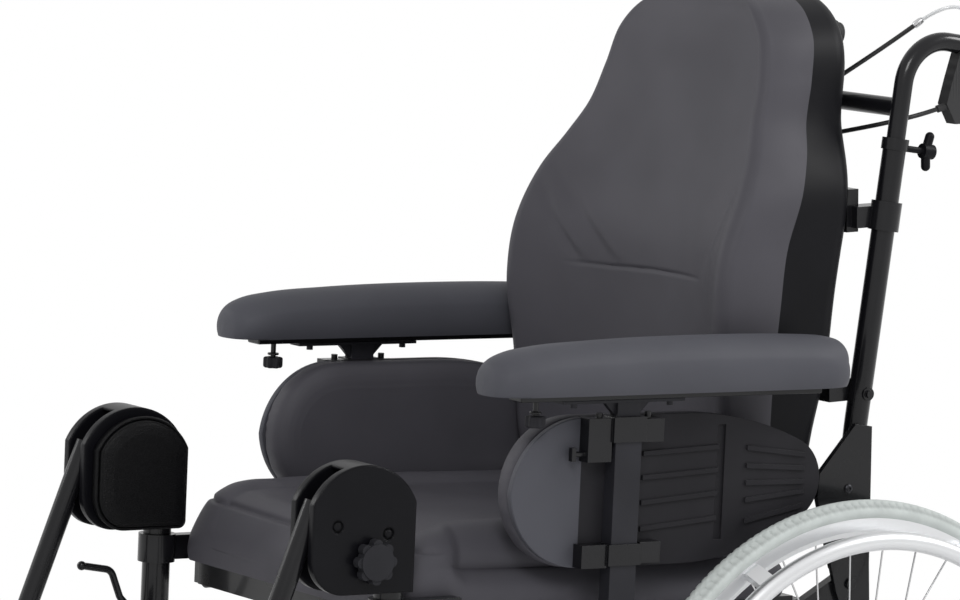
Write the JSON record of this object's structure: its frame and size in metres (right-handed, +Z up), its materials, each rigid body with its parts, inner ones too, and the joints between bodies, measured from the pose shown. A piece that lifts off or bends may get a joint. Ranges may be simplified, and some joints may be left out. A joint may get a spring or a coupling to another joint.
{
  "type": "tilt in space wheelchair",
  "caption": "Tilting and reclining wheelchair with large spoked rear wheels, swivel castors, padded side guards and armrests, elevating legrests and height-adjustable push handles.",
  "frame": {"origin": "centre of the bounding box's base, on the floor", "axes": "+Z up, the chair faces -Y, +X is the sitter's left"},
  "size_m": [0.663, 1.3008, 1.109],
  "materials": {
    "frame_black": "gloss black powder coat",
    "post_grey": "dark grey powder coat",
    "chrome_steel": "bright steel",
    "alloy": "satin silver",
    "tyre_grey": "light grey rubber",
    "castor": "grey solid tyre on a moulded hub",
    "upholstery": "charcoal leatherette",
    "arm_upholstery": "slate leatherette",
    "knee_leather": "grained black leather",
    "black_plastic": "matt black",
    "knob_plastic": "dark grey",
    "grip_rubber": "black rubber",
    "cable_black": "black cable housing"
  },
  "bodies": {
    "chassis": {"chassis_frame": "frame_black", "axle_mounts": "frame_black", "quick_release_axles": "chrome_steel"},
    "seat": {"seat_frame": "frame_black", "seat_board": "frame_black", "seat_cushion": "upholstery", "armrest_outer_posts": "post_grey", "side_guards": "black_plastic", "side_guard_pads": "upholstery", "side_guard_clamps": "frame_black"},
    "back": {"back_frame": "frame_black", "back_shell": "black_plastic", "back_cushion": "upholstery", "shell_clamps": "frame_black", "height_knobs": "black_plastic"},
    "push_handles": {"push_bar": "frame_black", "handle_grips": "grip_rubber", "release_cables": "cable_black"},
    "tilt_cylinder": {"tilt_spring_cylinder": "frame_black"},
    "tilt_rod": {"tilt_spring_rod": "chrome_steel"},
    "recline_cylinder": {"recline_spring_cylinder": "frame_black"},
    "recline_rod": {"recline_spring_rod": "chrome_steel"},
    "rear_wheel_left": {"rear_tyre_left": "tyre_grey", "rear_rim_left": "alloy", "rear_hub_left": "alloy", "handrim_left": "alloy"},
    "castor_fork_left": {"castor_fork_left": "alloy"},
    "castor_wheel_left": {"castor_wheel_left": "castor"},
    "brake_left": {"brake_lever_left": "frame_black"},
    "arm_post_left": {"arm_post_left": "post_grey"},
    "arm_pad_left": {"arm_pad_left": "arm_upholstery"},
    "legrest_left": {"legrest_post_left": "frame_black", "knee_housing_left": "black_plastic", "knee_pad_left": "knee_leather"},
    "knee_knob_left": {"knee_knob_left": "knob_plastic"},
    "leg_tube_left": {"leg_tube_left": "frame_black"},
    "lower_leg_left": {"lower_leg_left": "chrome_steel"},
    "footplate_left": {"footplate_left": "black_plastic"},
    "calf_pad_left": {"calf_pad_left": "upholstery"},
    "release_lever_left": {"release_lever_left": "frame_black"},
    "trigger_left": {"trigger_left": "black_plastic"},
    "rear_wheel_right": {"rear_tyre_right": "tyre_grey", "rear_rim_right": "alloy", "rear_hub_right": "alloy", "handrim_right": "alloy"},
    "castor_fork_right": {"castor_fork_right": "alloy"},
    "castor_wheel_right": {"castor_wheel_right": "castor"},
    "brake_right": {"brake_lever_right": "frame_black"},
    "arm_post_right": {"arm_post_right": "post_grey"},
    "arm_pad_right": {"arm_pad_right": "arm_upholstery"},
    "legrest_right": {"legrest_post_right": "frame_black", "knee_housing_right": "black_plastic", "knee_pad_right": "knee_leather"},
    "knee_knob_right": {"knee_knob_right": "knob_plastic"},
    "leg_tube_right": {"leg_tube_right": "frame_black"},
    "lower_leg_right": {"lower_leg_right": "chrome_steel"},
    "footplate_right": {"footplate_right": "black_plastic"},
    "calf_pad_right": {"calf_pad_right": "upholstery"},
    "release_lever_right": {"release_lever_right": "frame_black"},
    "trigger_right": {"trigger_right": "black_plastic"}
  },
  "joints": [
    {"name": "rear_wheel_roll_left", "type": "hinge", "parent": "chassis", "child": "rear_wheel_left", "pos_m": [0.282, 0.31237, 0.295], "axis": [1, 0, 0], "continuous": true},
    {"name": "castor_swivel_left", "type": "hinge", "parent": "chassis", "child": "castor_fork_left", "pos_m": [0.21, -0.11763, 0.215], "axis": [0, 0, 1], "continuous": true},
    {"name": "castor_roll_left", "type": "hinge", "parent": "castor_fork_left", "child": "castor_wheel_left", "pos_m": [0.21, -0.07263, 0.1], "axis": [1, 0, 0], "continuous": true},
    {"name": "brake_apply_left", "type": "hinge", "parent": "chassis", "child": "brake_left", "pos_m": [0.214, 0.01237, 0.4], "axis": [-1, 0, 0], "range_deg": [0, 17]},
    {"name": "arm_height_left", "type": "slide", "parent": "seat", "child": "arm_post_left", "axis": [0, 0.0523, 0.9986], "range_m": [0, 0.08]},
    {"name": "arm_pad_depth_left", "type": "slide", "parent": "arm_post_left", "child": "arm_pad_left", "axis": [0, -0.9986, 0.0523], "range_m": [-0.02, 0.05]},
    {"name": "legrest_swing_left", "type": "hinge", "parent": "seat", "child": "legrest_left", "pos_m": [0.232, -0.22784, 0.50241], "axis": [0, 0.0523, 0.9986], "range_deg": [0, 85]},
    {"name": "knee_knob_turn_left", "type": "hinge", "parent": "legrest_left", "child": "knee_knob_left", "pos_m": [0.2535, -0.259, 0.57665], "axis": [1, 0, 0], "continuous": true},
    {"name": "leg_elevation_left", "type": "hinge", "parent": "legrest_left", "child": "leg_tube_left", "pos_m": [0.232, -0.26989, 0.60776], "axis": [-1, 0, 0], "range_deg": [0, 60]},
    {"name": "leg_length_left", "type": "slide", "parent": "leg_tube_left", "child": "lower_leg_left", "axis": [0, -0.3987, -0.9171], "range_m": [0, 0.05]},
    {"name": "calf_pad_swing_left", "type": "hinge", "parent": "leg_tube_left", "child": "calf_pad_left", "pos_m": [0.232, -0.40147, 0.43053], "axis": [0, -0.3987, -0.9171], "range_deg": [0, 75]},
    {"name": "footplate_flip_left", "type": "hinge", "parent": "lower_leg_left", "child": "footplate_left", "pos_m": [0.232, -0.54103, 0.10956], "axis": [0, 0.9848, -0.1736], "range_deg": [0, 80]},
    {"name": "release_lever_pull_left", "type": "hinge", "parent": "legrest_left", "child": "release_lever_left", "pos_m": [0.24, -0.25458, 0.45074], "axis": [-1, 0, 0], "range_deg": [-15, 0]},
    {"name": "trigger_squeeze_left", "type": "hinge", "parent": "push_handles", "child": "trigger_left", "pos_m": [0.2, 0.55037, 1], "axis": [1, 0, 0], "range_deg": [0, 9], "stiffness_Nm_per_rad": 0.6},
    {"name": "rear_wheel_roll_right", "type": "hinge", "parent": "chassis", "child": "rear_wheel_right", "pos_m": [-0.282, 0.31237, 0.295], "axis": [1, 0, 0], "continuous": true},
    {"name": "castor_swivel_right", "type": "hinge", "parent": "chassis", "child": "castor_fork_right", "pos_m": [-0.21, -0.11763, 0.215], "axis": [0, 0, 1], "continuous": true},
    {"name": "castor_roll_right", "type": "hinge", "parent": "castor_fork_right", "child": "castor_wheel_right", "pos_m": [-0.21, -0.07263, 0.1], "axis": [1, 0, 0], "continuous": true},
    {"name": "brake_apply_right", "type": "hinge", "parent": "chassis", "child": "brake_right", "pos_m": [-0.214, 0.01237, 0.4], "axis": [-1, 0, 0], "range_deg": [0, 17]},
    {"name": "arm_height_right", "type": "slide", "parent": "seat", "child": "arm_post_right", "axis": [0, 0.0523, 0.9986], "range_m": [0, 0.08]},
    {"name": "arm_pad_depth_right", "type": "slide", "parent": "arm_post_right", "child": "arm_pad_right", "axis": [0, -0.9986, 0.0523], "range_m": [-0.02, 0.05]},
    {"name": "legrest_swing_right", "type": "hinge", "parent": "seat", "child": "legrest_right", "pos_m": [-0.232, -0.22784, 0.50241], "axis": [0, -0.0523, -0.9986], "range_deg": [0, 85]},
    {"name": "knee_knob_turn_right", "type": "hinge", "parent": "legrest_right", "child": "knee_knob_right", "pos_m": [-0.2535, -0.259, 0.57665], "axis": [1, 0, 0], "continuous": true},
    {"name": "leg_elevation_right", "type": "hinge", "parent": "legrest_right", "child": "leg_tube_right", "pos_m": [-0.232, -0.26989, 0.60776], "axis": [-1, 0, 0], "range_deg": [0, 60]},
    {"name": "leg_length_right", "type": "slide", "parent": "leg_tube_right", "child": "lower_leg_right", "axis": [0, -0.3987, -0.9171], "range_m": [0, 0.05]},
    {"name": "calf_pad_swing_right", "type": "hinge", "parent": "leg_tube_right", "child": "calf_pad_right", "pos_m": [-0.232, -0.40147, 0.43053], "axis": [0, 0.3987, 0.9171], "range_deg": [0, 75]},
    {"name": "footplate_flip_right", "type": "hinge", "parent": "lower_leg_right", "child": "footplate_right", "pos_m": [-0.232, -0.54103, 0.10956], "axis": [0, -0.9848, 0.1736], "range_deg": [0, 80]},
    {"name": "release_lever_pull_right", "type": "hinge", "parent": "legrest_right", "child": "release_lever_right", "pos_m": [-0.24, -0.25458, 0.45074], "axis": [-1, 0, 0], "range_deg": [-15, 0]},
    {"name": "trigger_squeeze_right", "type": "hinge", "parent": "push_handles", "child": "trigger_right", "pos_m": [-0.2, 0.55037, 1], "axis": [1, 0, 0], "range_deg": [0, 9], "stiffness_Nm_per_rad": 0.6},
    {"name": "seat_tilt", "type": "hinge", "parent": "chassis", "child": "seat", "pos_m": [0, 0.12237, 0.44], "axis": [-1, 0, 0], "range_deg": [0, 20]},
    {"name": "back_recline", "type": "hinge", "parent": "seat", "child": "back", "pos_m": [0, 0.36019, 0.48762], "axis": [-1, 0, 0], "range_deg": [0, 30]},
    {"name": "push_handle_height", "type": "slide", "parent": "back", "child": "push_handles", "axis": [0, 0.1633, 0.9866], "range_m": [-0.008, 0.08], "deforming": ["release_cables"]},
    {"name": "tilt_spring_swing", "type": "hinge", "parent": "chassis", "child": "tilt_cylinder", "pos_m": [0, -0.06363, 0.288], "axis": [1, 0, 0], "range_deg": [-13.12, 0]},
    {"name": "tilt_spring_stroke", "type": "slide", "parent": "tilt_cylinder", "child": "tilt_rod", "axis": [0, -0.4439, 0.8961], "range_m": [0, 0.0788]},
    {"name": "recline_spring_swing", "type": "hinge", "parent": "seat", "child": "recline_cylinder", "pos_m": [0.06, 0.12437, 0.432], "axis": [1, 0, 0], "range_deg": [0, 0.361]},
    {"name": "recline_spring_stroke", "type": "slide", "parent": "recline_cylinder", "child": "recline_rod", "axis": [0, 0.9995, -0.0322], "range_m": [-0.0335, 0]}
  ],
  "couplings": [
    {"joint": "tilt_spring_swing", "follows": "seat_tilt", "ratio": -0.65595},
    {"joint": "tilt_spring_stroke", "follows": "seat_tilt", "m_per_rad": 0.22574},
    {"joint": "recline_spring_swing", "follows": "back_recline", "ratio": 0.012033},
    {"joint": "recline_spring_stroke", "follows": "back_recline", "m_per_rad": -0.063976}
  ]
}
